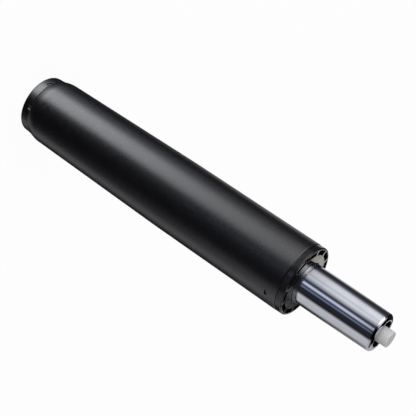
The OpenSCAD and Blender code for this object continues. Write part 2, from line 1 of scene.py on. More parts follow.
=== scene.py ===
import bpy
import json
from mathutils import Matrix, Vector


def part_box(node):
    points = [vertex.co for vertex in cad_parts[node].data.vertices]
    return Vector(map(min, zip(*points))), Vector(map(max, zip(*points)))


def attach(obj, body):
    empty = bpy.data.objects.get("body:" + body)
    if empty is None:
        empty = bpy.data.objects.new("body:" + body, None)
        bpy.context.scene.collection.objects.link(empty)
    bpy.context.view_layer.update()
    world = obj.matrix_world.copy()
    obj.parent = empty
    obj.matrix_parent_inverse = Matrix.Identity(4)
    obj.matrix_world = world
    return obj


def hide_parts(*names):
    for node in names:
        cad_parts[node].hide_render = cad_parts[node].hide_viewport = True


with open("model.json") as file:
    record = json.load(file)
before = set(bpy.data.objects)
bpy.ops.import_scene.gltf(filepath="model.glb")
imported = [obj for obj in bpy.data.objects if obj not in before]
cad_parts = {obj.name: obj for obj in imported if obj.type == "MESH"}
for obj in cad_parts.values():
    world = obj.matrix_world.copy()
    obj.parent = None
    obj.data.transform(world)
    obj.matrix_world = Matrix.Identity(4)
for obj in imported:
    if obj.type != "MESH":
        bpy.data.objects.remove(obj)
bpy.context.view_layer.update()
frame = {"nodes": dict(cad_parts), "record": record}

import json
import math

import bmesh
import bpy
from bpy.props import FloatProperty, FloatVectorProperty, IntProperty, PointerProperty
from mathutils import Matrix, Vector

bl_info = {
    "name": "Chair Gas Lift",
    "version": (1, 0, 0),
    "blender": (4, 5, 0),
    "location": "View3D > Sidebar > Gas Lift",
    "description": "Dresses the CAD frame of a chair gas lift in its painted, chromed and moulded pieces",
    "category": "Object",
}

MM = 0.001
# Vertices closer than this are one vertex
MERGE = 1e-7
# Vertices within this distance of a ring belong to it
ON_RING = 1e-6
# Edges sharper than this stay crisp in the shading
CRISP = math.radians(35)
# Steps of a full turn. The column has the most, because its stakes are pressed into its faces
COLUMN_STEPS = 600
TUBE_STEPS = 256
PLATE_STEPS = 192
SMALL_STEPS = 128
# Steps that the bush gives to each pocket with its rib, two of them for the rib
SECTOR_STEPS = 16
# A vertex this little beyond a rib's edge still counts as on it
RIB_SLACK = 1.001
# Rows of faces across a stake and up the shoulder
FINE_ROWS = 24
# Half the height of those rows, as a share of the width of a round and of a long stake
ROUND_REACH = 0.55
LONG_REACH = 0.6
# Share of a stake's half width that its wall takes
STAKE_WALL = 0.4
# Share of the wall, from outside, within which a stake moves the vertices
SKIN = 0.25

# Places taken from the frame: lowest and highest corner of a node
COLUMN_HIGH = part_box("outer_column")[1]
BUSH_LOW, BUSH_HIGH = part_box("guide_bush")
TUBE_LOW, TUBE_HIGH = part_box("pressure_tube")
SLEEVE_LOW, SLEEVE_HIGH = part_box("spacer_sleeve")
CAP_LOW, CAP_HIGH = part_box("valve_cap")
BUTTON_LOW, BUTTON_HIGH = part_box("release_button")
PIN_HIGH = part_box("valve_pin")[1]
PLATE_LOW, PLATE_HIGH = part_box("base_plate")
WASHER_LOW, WASHER_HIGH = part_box("foot_washer")


def linear(hex_colour):
    """Linear RGBA of an sRGB hex colour."""
    shares = [int(hex_colour[i:i + 2], 16) / 255 for i in (1, 3, 5)]
    return tuple(c / 12.92 if c <= 0.04045 else ((c + 0.055) / 1.055) ** 2.4 for c in shares) + (1.0,)


def length(name, description, metres):
    """Property for a length, which the interface shows in the scene's unit."""
    return FloatProperty(name=name, description=description, default=metres, unit="LENGTH", precision=5)


def angle(name, description, degrees):
    """Property for an angle, which the interface shows in degrees."""
    return FloatProperty(name=name, description=description, default=math.radians(degrees), subtype="ANGLE")


def colour(name, description, hex_colour):
    """Property for a colour, written as sRGB hex and kept as linear."""
    return FloatVectorProperty(name=name, description=description, default=linear(hex_colour), size=4,
                               subtype="COLOR", min=0, max=1)


class ColumnSizes(bpy.types.PropertyGroup):
    """Sizes of the painted column."""
    radius: length("Radius", "Radius of the straight barrel", COLUMN_HIGH.x)
    height: length("Height", "Height of the steel column", COLUMN_HIGH.z)
    wall: length("Wall", "Wall thickness", 2 * MM)
    taper_top: length("Taper top", "Height at which the base taper meets the straight barrel", 127 * MM)
    taper_angle: angle("Taper", "Included angle of the base taper and of the seat taper", 1.438)
    nose_height: length("Nose height", "Height of the swaged nose, up to its crease", 7.6 * MM)
    nose_step: length("Nose step", "Radial step from the nose out to the foot of the taper", 1.65 * MM)
    nose_draft: length("Nose draft", "Radial draft of the nose over its height", 0.5 * MM)
    nose_round: length("Nose rounding", "Radius of the nose's bottom edge", 1.4 * MM)
    shoulder_height: length("Shoulder height", "Height of the shoulder between nose and taper", 8.4 * MM)
    crease_depth: length("Crease depth", "Depth of the line that the swaging tool leaves", 0.12 * MM)
    crease_width: length("Crease width", "Width of that line", 0.5 * MM)
    lip_width: length("Lip width", "Radial width of the lip turned in under the base plate", 4 * MM)
    top_round: length("Top rounding", "Radius of the top edge", 0.55 * MM)
    stake_depth: length("Stake depth", "Depth of every stake", 1 * MM)
    plate_stakes: IntProperty(name="Round stakes", description="Number of round stakes in the nose", default=6)
    plate_stake_height: length("Round stake height", "Height of the round stakes above the foot", 6.6 * MM)
    plate_stake_width: length("Round stake width", "Diameter of a round stake", 4 * MM)
    plate_stake_crown: FloatProperty(name="Round stake crown", min=0, max=1, default=0.6,
                                     description="Share of a round stake's depth by which its middle stands up")
    plate_stake_turn: angle("Round stake turn", "Angle of the first round stake", 48)
    bush_stakes: IntProperty(name="Long stakes", description="Number of long stakes near the top", default=2)
    bush_stake_drop: length("Long stake drop", "Distance of the long stakes below the top edge", 7.6 * MM)
    bush_stake_length: length("Long stake length", "Length of a long stake round the column", 4.4 * MM)
    bush_stake_width: length("Long stake width", "Width of a long stake along the column", 2.2 * MM)
    bush_stake_turn: angle("Long stake turn", "Angle of the first long stake", -40)


class BushSizes(bpy.types.PropertyGroup):
    """Sizes of the moulded guide bush."""
    flange_radius: length("Flange radius", "Radius of the flange that caps the column", BUSH_HIGH.x)
    flange_height: length("Flange height", "Height of the flange", 4.8 * MM)
    flange_round: length("Flange rounding", "Radius of the flange's top edge", 0.9 * MM)
    seam_round: length("Seam rounding", "Radius of the flange's edge at the seam with the column", 0.5 * MM)
    fit: length("Fit", "Radial clearance of the bush in the column", 0.05 * MM)
    bore_radius: length("Bore radius", "Radius of the bore that guides the tube", 14.06 * MM)
    rim_radius: length("Rim radius", "Outer radius of the pockets", 23.25 * MM)
    collar_radius: length("Collar radius", "Inner radius of the pockets, where the collar starts", 20.06 * MM)
    collar_rise: length("Collar rise", "Rise of the collar's top towards the tube", 0.4 * MM)
    chamfer: length("Chamfer", "Chamfer where the tube enters", 0.5 * MM)
    pocket_depth: length("Pocket depth", "Depth of the pockets", 74.3 * MM)
    pocket_round: length("Pocket rounding", "Radius of the edges round the pockets", 0.22 * MM)
    pockets: IntProperty(name="Pockets", description="Number of pockets, and of ribs between them", default=12)
    rib_width: length("Rib width", "Width of the ribs between the pockets", 2 * MM)
    rib_turn: angle("Rib turn", "Angle of the first rib", 28.5)


class TubeSizes(bpy.types.PropertyGroup):
    """Sizes of the chromed pressure tube and of the recess in its end."""
    radius: length("Radius", "Radius of the straight part of the tube", TUBE_HIGH.x)
    wall: length("Wall", "Wall thickness", 2 * MM)
    taper_height: length("Taper height", "Length of the seat taper", 44 * MM)
    rim_round: length("Rim rounding", "Radius of the rolled rim's outer edge", 1.9 * MM)
    rim_slope: angle("Rim slope", "Slope of the rim's end face up to its opening", 15)
    rim_lip: length("Rim lip", "Width of the flat lip round that opening", 0.5 * MM)
    rim_hole: length("Rim hole", "Radius of the opening in the rolled rim", 9.6 * MM)
    rim_edge: length("Rim edge", "Radius of the edge of that opening", 0.15 * MM)
    tail_round: length("Tail rounding", "Radius of the tail's outer edge", 1.5 * MM)
    tail_hole: length("Tail hole", "Radius of the opening in the tail", 7 * MM)
    sleeve_edge: length("Sleeve edge", "Radius of the spacer sleeve's edges", 0.3 * MM)
    cap_stem: length("Cap stem", "Radius of the valve cap's stem", 5.46 * MM)
    cap_flange: length("Cap flange", "Thickness of the valve cap's flange", 2 * MM)
    cap_bore: length("Cap bore", "Radius of the valve cap's bore", 3.06 * MM)


class ButtonSizes(bpy.types.PropertyGroup):
    """Sizes of the release button."""
    radius: length("Radius", "Radius of the button", BUTTON_HIGH.x)
    top_round: length("Top rounding", "Radius of the top edge", 0.5 * MM)
    foot_round: length("Foot rounding", "Radius of the bottom edge", 0.3 * MM)
    socket_radius: length("Socket radius", "Radius of the socket for the valve pin", 3.05 * MM)
    socket_gap: length("Socket gap", "Gap above the valve pin", 0.1 * MM)


class FootSizes(bpy.types.PropertyGroup):
    """Sizes of the plate and washer that show in the open foot."""
    recess_radius: length("Recess radius", "Radius of the recess for washer and clip", 10 * MM)
    recess_depth: length("Recess depth", "Depth of that recess", 3 * MM)
    spigot_hole: length("Spigot hole", "Radius of the hole for the rod's spigot", 4.06 * MM)
    plate_edge: length("Plate edge", "Radius of the plate's outer edges", 0.3 * MM)
    groove_height: length("Groove height", "Height of the groove that takes the round stakes", 3 * MM)
    groove_depth: length("Groove depth", "Depth of that groove", 0.9 * MM)
    groove_middle: length("Groove middle", "Height of that groove above the foot", 6.6 * MM)
    washer_hole: length("Washer hole", "Radius of the washer's hole", 4.05 * MM)
    washer_edge: length("Washer edge", "Radius of the washer's edges", 0.2 * MM)


class Finishes(bpy.types.PropertyGroup):
    """Colours of the finishes."""
    column_paint: colour("Column paint", "Satin black powder coat of the column", "#08080b")
    bush_plastic: colour("Bush plastic", "Black acetal of the bush", "#161618")
    chrome: colour("Chrome", "Hard chrome of the pressure tube", "#d3d5db")
    button_plastic: colour("Button plastic", "Off-white acetal of the button", "#c4c4c7")
    plated_steel: colour("Plated steel", "Zinc plating of plate, washers and nut", "#b4b7ba")
    bearing_steel: colour("Bearing steel", "Polished steel of races and balls", "#c4c6ca")
    ground_steel: colour("Ground steel", "Ground steel of rod and pin", "#bcbec2")
    drawn_steel: colour("Drawn steel", "Drawn steel of the inner cylinder", "#adb0b4")
    spring_steel: colour("Spring steel", "Black oxide of clip and sleeve", "#2c2d30")
    turned_aluminium: colour("Turned aluminium", "Aluminium of rod guide and valve body", "#cfd1d4")
    brass: colour("Brass", "Brass of the piston", "#c8a860")
    cage_plastic: colour("Cage plastic", "Natural nylon of cage, band and rings", "#d8cfb4")
    rubber: colour("Rubber", "Nitrile rubber of seals and bumper", "#1a1a1a")


class StageSizes(bpy.types.PropertyGroup):
    """Camera, floor and light."""
    elevation: angle("Elevation", "Height of the camera above the horizon", 24.04)
    roll: angle("Roll", "Turn of the camera about its own axis, which lays the lift down", 123.99)
    aim_side: length("Aim side", "Sideways place of the point that the camera looks at", -4.5 * MM)
    aim_height: length("Aim height", "Height of that point", 152.4 * MM)
    distance: length("Distance", "Distance from that point to the camera", 759.1 * MM)
    lens: FloatProperty(name="Lens", description="Focal length on a 36 mm sensor, in millimetres", default=99.7)
    floor_radius: length("Floor radius", "Radius of the floor", 4.0)
    floor_drop: length("Floor drop", "Gap below the foot, so that the two faces don't share a plane", 0.1 * MM)
    floor_glow: FloatProperty(name="Floor glow", description="Share of the floor that is white in any light",
                              default=0.95, min=0, max=1)
    ambient: FloatProperty(name="Ambient", description="Brightness of the even light all round", default=0.66)
    key_power: FloatProperty(name="Key power", description="Power of the soft lamp", default=12, unit="POWER")
    key_size: length("Key size", "Side of the soft lamp", 1.2)
    key_place: FloatVectorProperty(name="Key place", description="Place of the soft lamp",
                                   default=(-0.9, -1.3, 0.5), subtype="TRANSLATION", unit="LENGTH")


SETTINGS = {
    "lift_column": ColumnSizes,
    "lift_bush": BushSizes,
    "lift_tube": TubeSizes,
    "lift_button": ButtonSizes,
    "lift_foot": FootSizes,
    "lift_finishes": Finishes,
    "lift_stage": StageSizes,
}


def lathe(profile, steps, closed=True):
    """Mesh turned about the z axis from a profile of (radius, height) points."""
    bm = bmesh.new()
    verts = [bm.verts.new((radius, 0, height)) for radius, height in profile]
    ends = verts[1:] + verts[:1] if closed else verts[1:]
    edges = [bm.edges.new(pair) for pair in zip(verts, ends)]
    bmesh.ops.spin(bm, geom=verts + edges, cent=(0, 0, 0), axis=(0, 0, 1), angle=2 * math.pi, steps=steps,
                   use_merge=True)
    bmesh.ops.remove_doubles(bm, verts=bm.verts, dist=MERGE)
    bmesh.ops.recalc_face_normals(bm, faces=bm.faces)
    return bm


def on_ring(vert, radius, height):
    """True if a vertex lies on the ring at this radius and height."""
    return abs(math.hypot(vert.co.x, vert.co.y) - radius) < ON_RING and abs(vert.co.z - height) < ON_RING


def round_edges(bm, edges, rounding, segments):
    """Rounds edges with an arc of this radius."""
    if not edges:
        raise RuntimeError("there is no edge to round")
    bmesh.ops.bevel(bm, geom=edges, offset=rounding, offset_type="OFFSET", segments=segments, profile=0.5,
                    affect="EDGES", material=-1, clamp_overlap=True)


def round_ring(bm, radius, height, rounding, segments):
    """Rounds the edge that runs round the axis at this radius and height."""
    edges = [e for e in bm.edges if all(on_ring(v, radius, height) for v in e.verts)]
    round_edges(bm, edges, rounding, segments)


def press_stake(bm, outside, turn, height, half_length, half_width, depth, crown=0):
    """Presses one stake into the vertices that lie beyond the radius called outside.

    The crown is the share of the depth to which a hollow punch leaves the middle standing."""
    for vert in bm.verts:
        radius = math.hypot(vert.co.x, vert.co.y)
        if radius < outside:
            continue
        offset = math.remainder(math.atan2(vert.co.y, vert.co.x) - turn, 2 * math.pi) * radius
        along = max(abs(offset) - half_length, 0)
        reach = math.hypot(along, vert.co.z - height) / half_width
        if reach < 1:
            # Steep wall, and a floor that is flat or rises to the crown
            wall = min(1, (1 - reach) / STAKE_WALL)
            middle = min(1, reach / (1 - STAKE_WALL))
            sink = wall ** 2 * (3 - 2 * wall) - crown * (1 - middle ** 2)
            share = (radius - depth * sink) / radius
            vert.co.x *= share
            vert.co.y *= share


def finish_piece(bm, name, body, node, slot):
    """Makes the mesh an object with its slot's finish, which rides on a body and stands for a CAD node."""
    mesh = bpy.data.meshes.new(name)
    bm.to_mesh(mesh)
    bm.free()
    mesh.shade_smooth()
    mesh.set_sharp_from_angle(angle=CRISP)
    mesh.materials.append(make_material(slot))
    piece = bpy.data.objects.new(name, mesh)
    bpy.context.scene.collection.objects.link(piece)
    # Long faces keep their own normals beside the small faces of a rounded edge
    weighted = piece.modifiers.new("Even shading", "WEIGHTED_NORMAL")
    weighted.keep_sharp = True
    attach(piece, body)
    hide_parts(node)


def add_node(tree, kind, inputs=None, stops=(), **settings):
    """Adds a node with its settings, sets or links its inputs, and gives a ramp its stops.

    A stop is a place from 0 to 1 and a linear colour."""
    node = tree.nodes.new(kind)
    for name, value in settings.items():
        setattr(node, name, value)
    for name, value in (inputs or {}).items():
        if isinstance(value, bpy.types.NodeSocket):
            tree.links.new(value, node.inputs[name])
        else:
            node.inputs[name].default_value = value
    if stops:
        elements = node.color_ramp.elements
        while len(elements) < len(stops):
            elements.new(1.0)
        for element, (place, value) in zip(elements, stops):
            element.position = place
            element.color = value
    return node


def shade(value, factor):
    """A linear colour made lighter or darker."""
    return tuple(min(1.0, c * factor) for c in value[:3]) + (1.0,)


def start_material(name):
    """New material with a Principled shader: returns the material, its tree and the shader."""
    material = bpy.data.materials.new(name)
    material.use_nodes = True
    tree = material.node_tree
    tree.nodes.clear()
    shader = add_node(tree, "ShaderNodeBsdfPrincipled")
    add_node(tree, "ShaderNodeOutputMaterial", {"Surface": shader.outputs["BSDF"]})
    return material, tree, shader


# Values between which most of a noise texture lies
NOISE_LOW = 0.3
NOISE_HIGH = 0.7
# Stretch of marks that run round the axis, and of marks that run along it
ROUND_MARKS = (0.02, 0.02, 1.0)
LONG_MARKS = (1.0, 1.0, 0.02)


def satin_powder_coat(base):
    """Powder coat, sprayed and baked: a satin skin with a faint orange peel and hardly any colour change."""
    material, tree, shader = start_material("satin_black_powder_coat")
    place = add_node(tree, "ShaderNodeTexCoord").outputs["Object"]
    # Orange peel waves are about 1.8 mm long
    peel = add_node(tree, "ShaderNodeTexNoise", {"Vector": place, "Scale": 1 / (1.8 * MM), "Detail": 1.0})
    # Powder grains of about 0.3 mm, drawn at 0.8 mm so that they show
    grain = add_node(tree, "ShaderNodeTexNoise", {"Vector": place, "Scale": 1 / (0.8 * MM), "Detail": 2.0})
    # The spray is uneven over about 22 mm
    cloud = add_node(tree, "ShaderNodeTexNoise", {"Vector": place, "Scale": 1 / (22 * MM), "Detail": 3.0})
    tone = add_node(tree, "ShaderNodeValToRGB", {"Fac": cloud.outputs["Fac"]},
                    stops=[(NOISE_LOW, shade(base, 0.85)), (NOISE_HIGH, shade(base, 1.2))])
    gloss = add_node(tree, "ShaderNodeMapRange",
                     {"Value": grain.outputs["Fac"], "From Min": NOISE_LOW, "From Max": NOISE_HIGH,
                      "To Min": 0.27, "To Max": 0.39})
    bump = add_node(tree, "ShaderNodeBump",
                    {"Height": peel.outputs["Fac"], "Strength": 0.4, "Distance": 0.03 * MM})
    shader.inputs["IOR"].default_value = 1.5
    shader.inputs["Specular IOR Level"].default_value = 1.0
    tree.links.new(tone.outputs["Color"], shader.inputs["Base Color"])
    tree.links.new(gloss.outputs["Result"], shader.inputs["Roughness"])
    tree.links.new(bump.outputs["Normal"], shader.inputs["Normal"])
    return material


def moulded_plastic(base, name, grain_mm, roughness, bump_strength):
    """Injection moulded plastic: even colour, a fine grain from the tool and a soft gloss."""
    material, tree, shader = start_material(name)
    place = add_node(tree, "ShaderNodeTexCoord").outputs["Object"]
    grain = add_node(tree, "ShaderNodeTexNoise", {"Vector": place, "Scale": 1 / (grain_mm * MM), "Detail": 2.0})
    # Slow change of tone, about 6 mm across, as the melt cools unevenly
    flow = add_node(tree, "ShaderNodeTexNoise", {"Vector": place, "Scale": 1 / (6 * MM), "Detail": 2.0})
    tone = add_node(tree, "ShaderNodeValToRGB", {"Fac": flow.outputs["Fac"]},
                    stops=[(NOISE_LOW, shade(base, 0.93)), (NOISE_HIGH, shade(base, 1.05))])
    gloss = add_node(tree, "ShaderNodeMapRange",
                     {"Value": grain.outputs["Fac"], "From Min": NOISE_LOW, "From Max": NOISE_HIGH,
                      "To Min": roughness - 0.05, "To Max": roughness + 0.05})
    bump = add_node(tree, "ShaderNodeBump",
                    {"Height": grain.outputs["Fac"], "Strength": bump_strength, "Distance": 0.02 * MM})
    shader.inputs["IOR"].default_value = 1.48
    tree.links.new(tone.outputs["Color"], shader.inputs["Base Color"])
    tree.links.new(gloss.outputs["Result"], shader.inputs["Roughness"])
    tree.links.new(bump.outputs["Normal"], shader.inputs["Normal"])
    return material


def turned_metal(base, name, roughness, mark_mm, bump_strength, stretch):
    """Machined or plated metal: fine tool marks that run round the piece or along it, and uneven gloss."""
    material, tree, shader = start_material(name)
    place = add_node(tree, "ShaderNodeTexCoord").outputs["Object"]
    # Marks are long one way and mark_mm apart the other way
    run = add_node(tree, "ShaderNodeMapping", {"Vector": place, "Scale": stretch})
    marks = add_node(tree, "ShaderNodeTexNoise",
                     {"Vector": run.outputs["Vector"], "Scale": 1 / (mark_mm * MM), "Detail": 2.0})
    # Handling and plating leave clouds about 9 mm across
    cloud = add_node(tree, "ShaderNodeTexNoise", {"Vector": place, "Scale": 1 / (9 * MM), "Detail": 3.0})
    tone = add_node(tree, "ShaderNodeValToRGB", {"Fac": cloud.outputs["Fac"]},
                    stops=[(NOISE_LOW, shade(base, 0.94)), (NOISE_HIGH, shade(base, 1.03))])
    gloss = add_node(tree, "ShaderNodeMapRange",
                     {"Value": cloud.outputs["Fac"], "From Min": NOISE_LOW, "From Max": NOISE_HIGH,
                      "To Min": roughness * 0.8, "To Max": roughness * 1.2})
    bump = add_node(tree, "ShaderNodeBump",
                    {"Height": marks.outputs["Fac"], "Strength": bump_strength, "Distance": 0.01 * MM})
    shader.inputs["Metallic"].default_value = 1.0
    tree.links.new(tone.outputs["Color"], shader.inputs["Base Color"])
    tree.links.new(gloss.outputs["Result"], shader.inputs["Roughness"])
    tree.links.new(bump.outputs["Normal"], shader.inputs["Normal"])
    return material


def hard_chrome(base):
    """Hard chrome, ground and polished: a near mirror, dulled by grease where the tube leaves the bush."""
    material = turned_metal(base, name="hard_chrome_on_ground_steel", roughness=0.07, mark_mm=0.5,
                            bump_strength=0.04, stretch=ROUND_MARKS)
    tree = material.node_tree
    shader = tree.nodes["Principled BSDF"]
    polish = shader.inputs["Roughness"].links[0].from_socket
    place = add_node(tree, "ShaderNodeTexCoord").outputs["Object"]
    height = add_node(tree, "ShaderNodeSeparateXYZ", {"Vector": place}).outputs["Z"]
    off = add_node(tree, "ShaderNodeMath", {0: height, 1: BUSH_HIGH.z}, operation="SUBTRACT")
    gap = add_node(tree, "ShaderNodeMath", {0: off.outputs["Value"]}, operation="ABSOLUTE")
    # The film is thickest within 1.5 mm of the bush and ends 4.5 mm from it
    film = add_node(tree, "ShaderNodeMapRange",
                    {"Value": gap.outputs["Value"], "From Min": 1.5 * MM, "From Max": 4.5 * MM, "To Min": 0.2,
                     "To Max": 0.0}, interpolation_type="SMOOTHSTEP")
    dull = add_node(tree, "ShaderNodeMath", {0: polish, 1: film.outputs["Result"]}, operation="ADD")
    tree.links.new(dull.outputs["Value"], shader.inputs["Roughness"])
    return material


def rubber_skin(base):
    """Nitrile rubber, moulded: matt black with a dusty, slightly uneven skin."""
    material, tree, shader = start_material("moulded_nitrile_rubber")
    place = add_node(tree, "ShaderNodeTexCoord").outputs["Object"]
    # Dust gathers in specks about 1.2 mm across
    dust = add_node(tree, "ShaderNodeTexNoise", {"Vector": place, "Scale": 1 / (1.2 * MM), "Detail": 3.0})
    tone = add_node(tree, "ShaderNodeValToRGB", {"Fac": dust.outputs["Fac"]},
                    stops=[(0.35, shade(base, 0.8)), (NOISE_HIGH, shade(base, 1.5))])
    bump = add_node(tree, "ShaderNodeBump",
                    {"Height": dust.outputs["Fac"], "Strength": 0.2, "Distance": 0.03 * MM})
    shader.inputs["Roughness"].default_value = 0.75
    tree.links.new(tone.outputs["Color"], shader.inputs["Base Color"])
    tree.links.new(bump.outputs["Normal"], shader.inputs["Normal"])
    return material


# How the finish of each of the record's material slots is made
MAKERS = {
    "column_paint": (satin_powder_coat, {}),
    "bush_plastic": (moulded_plastic, dict(name="moulded_black_acetal", grain_mm=0.9, roughness=0.18,
                                           bump_strength=0.06)),
    "button_plastic": (moulded_plastic, dict(name="moulded_white_acetal", grain_mm=0.9, roughness=0.5,
                                             bump_strength=0.02)),
    "cage_plastic": (moulded_plastic, dict(name="moulded_natural_nylon", grain_mm=0.6, roughness=0.5,
                                           bump_strength=0.2)),
    "rubber": (rubber_skin, {}),
    "chrome": (hard_chrome, {}),
    "plated_steel": (turned_metal, dict(name="zinc_plated_steel", roughness=0.34, mark_mm=0.5,
                                        bump_strength=0.2, stretch=ROUND_MARKS)),
    "bearing_steel": (turned_metal, dict(name="polished_bearing_steel", roughness=0.14, mark_mm=0.4,
                                         bump_strength=0.06, stretch=ROUND_MARKS)),
    "ground_steel": (turned_metal, dict(name="ground_hardened_steel", roughness=0.18, mark_mm=0.4,
                                        bump_strength=0.1, stretch=ROUND_MARKS)),
    "drawn_steel": (turned_metal, dict(name="cold_drawn_steel", roughness=0.3, mark_mm=0.6,
                                       bump_strength=0.15, stretch=LONG_MARKS)),
    "spring_steel": (turned_metal, dict(name="black_oxide_steel", roughness=0.45, mark_mm=0.5,
                                        bump_strength=0.2, stretch=ROUND_MARKS)),
    "turned_aluminium": (turned_metal, dict(name="turned_aluminium", roughness=0.3, mark_mm=0.4,
                                            bump_strength=0.25, stretch=ROUND_MARKS)),
    "brass": (turned_metal, dict(name="turned_brass", roughness=0.25, mark_mm=0.4,
                                 bump_strength=0.2, stretch=ROUND_MARKS)),
}


def make_material(slot):
    """The finish of one of the record's material slots, made on first use."""
    scene = bpy.context.scene
    made = dict(scene.get("lift_made", {}))
    if slot not in made:
        maker, settings = MAKERS[slot]
        made[slot] = maker(tuple(getattr(scene.lift_finishes, slot)), **settings).name
        scene["lift_made"] = made
    return bpy.data.materials[made[slot]]


class GASLIFT_OT_column(bpy.types.Operator):
    """Build the painted column with its swaged nose, taper and stakes"""
    bl_idname = "gaslift.column"
    bl_label = "Column"

    def execute(self, context):
        size = context.scene.lift_column
        slope = math.tan(size.taper_angle / 2)
        shoulder_top = size.nose_height + size.shoulder_height
        taper_foot = size.radius - (size.taper_top - shoulder_top) * slope
        nose = taper_foot - size.nose_step
        nose_foot = nose - size.nose_draft
        nose_bore = nose_foot - size.wall
        lip_hole = nose_bore - size.lip_width
        crease_half = size.crease_width / 2

        def nose_at(height):
            return nose_foot + size.nose_draft * height / size.nose_height

        def shoulder_at(share, start, end):
            return start + (end - start) * math.sin(math.pi / 2 * share)

        profile = [(lip_hole, 0), (nose_foot, 0)]
        low = size.plate_stake_height - size.plate_stake_width * ROUND_REACH
        high = size.nose_height - size.crease_width
        for i in range(FINE_ROWS + 1):
            height = low + (high - low) * i / FINE_ROWS
            profile.append((nose_at(height), height))
        profile.append((nose_at(size.nose_height - crease_half), size.nose_height - crease_half))
        profile.append((nose - size.crease_depth, size.nose_height))
        first = crease_half / size.shoulder_height
        for i in range(FINE_ROWS + 1):
            share = first + (1 - first) * i / FINE_ROWS
            profile.append((shoulder_at(share, nose, taper_foot),
                            size.nose_height + size.shoulder_height * share))
        profile.append((size.radius, size.taper_top))
        middle = size.height - size.bush_stake_drop
        reach = size.bush_stake_width * LONG_REACH
        for i in range(FINE_ROWS + 1):
            profile.append((size.radius, middle - reach + 2 * reach * i / FINE_ROWS))
        profile.append((size.radius, size.height))
        bore = size.radius - size.wall
        profile += [(bore, size.height), (bore, size.taper_top)]
        for i in range(FINE_ROWS, -1, -2):
            share = i / FINE_ROWS
            profile.append((shoulder_at(share, nose_bore, taper_foot - size.wall),
                            size.nose_height + size.shoulder_height * share))
        profile += [(nose_bore, size.wall), (lip_hole, size.wall)]
        bm = lathe(profile, COLUMN_STEPS)
        round_ring(bm, nose_foot, 0, size.nose_round, segments=8)
        round_ring(bm, size.radius, size.height, size.top_round, segments=4)
        skin = size.wall * SKIN
        for i in range(size.plate_stakes):
            turn = size.plate_stake_turn + 2 * math.pi * i / size.plate_stakes
            press_stake(bm, nose_foot - skin, turn, size.plate_stake_height, 0, size.plate_stake_width / 2,
                        size.stake_depth, size.plate_stake_crown)
        half_width = size.bush_stake_width / 2
        half_length = size.bush_stake_length / 2 - half_width
        for i in range(size.bush_stakes):
            turn = size.bush_stake_turn + 2 * math.pi * i / size.bush_stakes
            press_stake(bm, size.radius - skin, turn, middle, half_length, half_width, size.stake_depth)
        finish_piece(bm, "painted_column", "column", "outer_column", "column_paint")
        return {"FINISHED"}


class GASLIFT_OT_guide_bush(bpy.types.Operator):
    """Build the moulded bush with its flange, collar and ring of pockets"""
    bl_idname = "gaslift.guide_bush"
    bl_label = "Guide Bush"

    def execute(self, context):
        size = context.scene.lift_bush
        column = context.scene.lift_column
        seat = column.height
        top = seat + size.flange_height
        outer = column.radius - column.wall - size.fit
        profile = [
            (size.bore_radius + size.chamfer, top + size.collar_rise), (size.collar_radius, top),
            (size.rim_radius, top), (size.flange_radius, top), (size.flange_radius, seat), (outer, seat),
            (outer, BUSH_LOW.z), (size.bore_radius, BUSH_LOW.z),
            (size.bore_radius, top + size.collar_rise - size.chamfer),
        ]
        bm = lathe(profile, size.pockets * SECTOR_STEPS)
        pitch = 2 * math.pi / size.pockets
        rib_edge = pitch / SECTOR_STEPS
        pocket_faces = []
        for face in bm.faces:
            centre = face.calc_center_median()
            radius = math.hypot(centre.x, centre.y)
            off_rib = abs(math.remainder(math.atan2(centre.y, centre.x), pitch))
            in_ring = abs(centre.z - top) < ON_RING and size.collar_radius < radius < size.rim_radius
            if in_ring and off_rib > rib_edge:
                pocket_faces.append(face)
        # The ribs get parallel sides, and the pockets share the rest of the turn
        for vert in bm.verts:
            radius = math.hypot(vert.co.x, vert.co.y)
            turn = math.atan2(vert.co.y, vert.co.x)
            off_rib = math.remainder(turn, pitch)
            rib_half = math.asin(size.rib_width / 2 / radius)
            if abs(off_rib) < rib_edge * RIB_SLACK:
                new = off_rib * rib_half / rib_edge
            else:
                spread = (pitch / 2 - rib_half) / (pitch / 2 - rib_edge)
                new = math.copysign(rib_half + (abs(off_rib) - rib_edge) * spread, off_rib)
            turned = turn - off_rib + new + size.rib_turn
            vert.co.x = radius * math.cos(turned)
            vert.co.y = radius * math.sin(turned)
        made = bmesh.ops.extrude_face_region(bm, geom=pocket_faces)["geom"]
        floor = [v for v in made if isinstance(v, bmesh.types.BMVert)]
        bmesh.ops.translate(bm, verts=floor, vec=(0, 0, -size.pocket_depth))
        bmesh.ops.delete(bm, geom=pocket_faces, context="FACES")
        bmesh.ops.recalc_face_normals(bm, faces=bm.faces)
        round_ring(bm, size.flange_radius, top, size.flange_round, segments=6)
        round_ring(bm, size.flange_radius, seat, size.seam_round, segments=3)
        edges = [e for e in bm.edges if len(e.link_faces) == 2 and e.calc_face_angle() > CRISP
                 and all(abs(v.co.z - top) < ON_RING for v in e.verts)]
        round_edges(bm, edges, size.pocket_round, segments=2)
        finish_piece(bm, "moulded_bush", "column", "guide_bush", "bush_plastic")
        return {"FINISHED"}


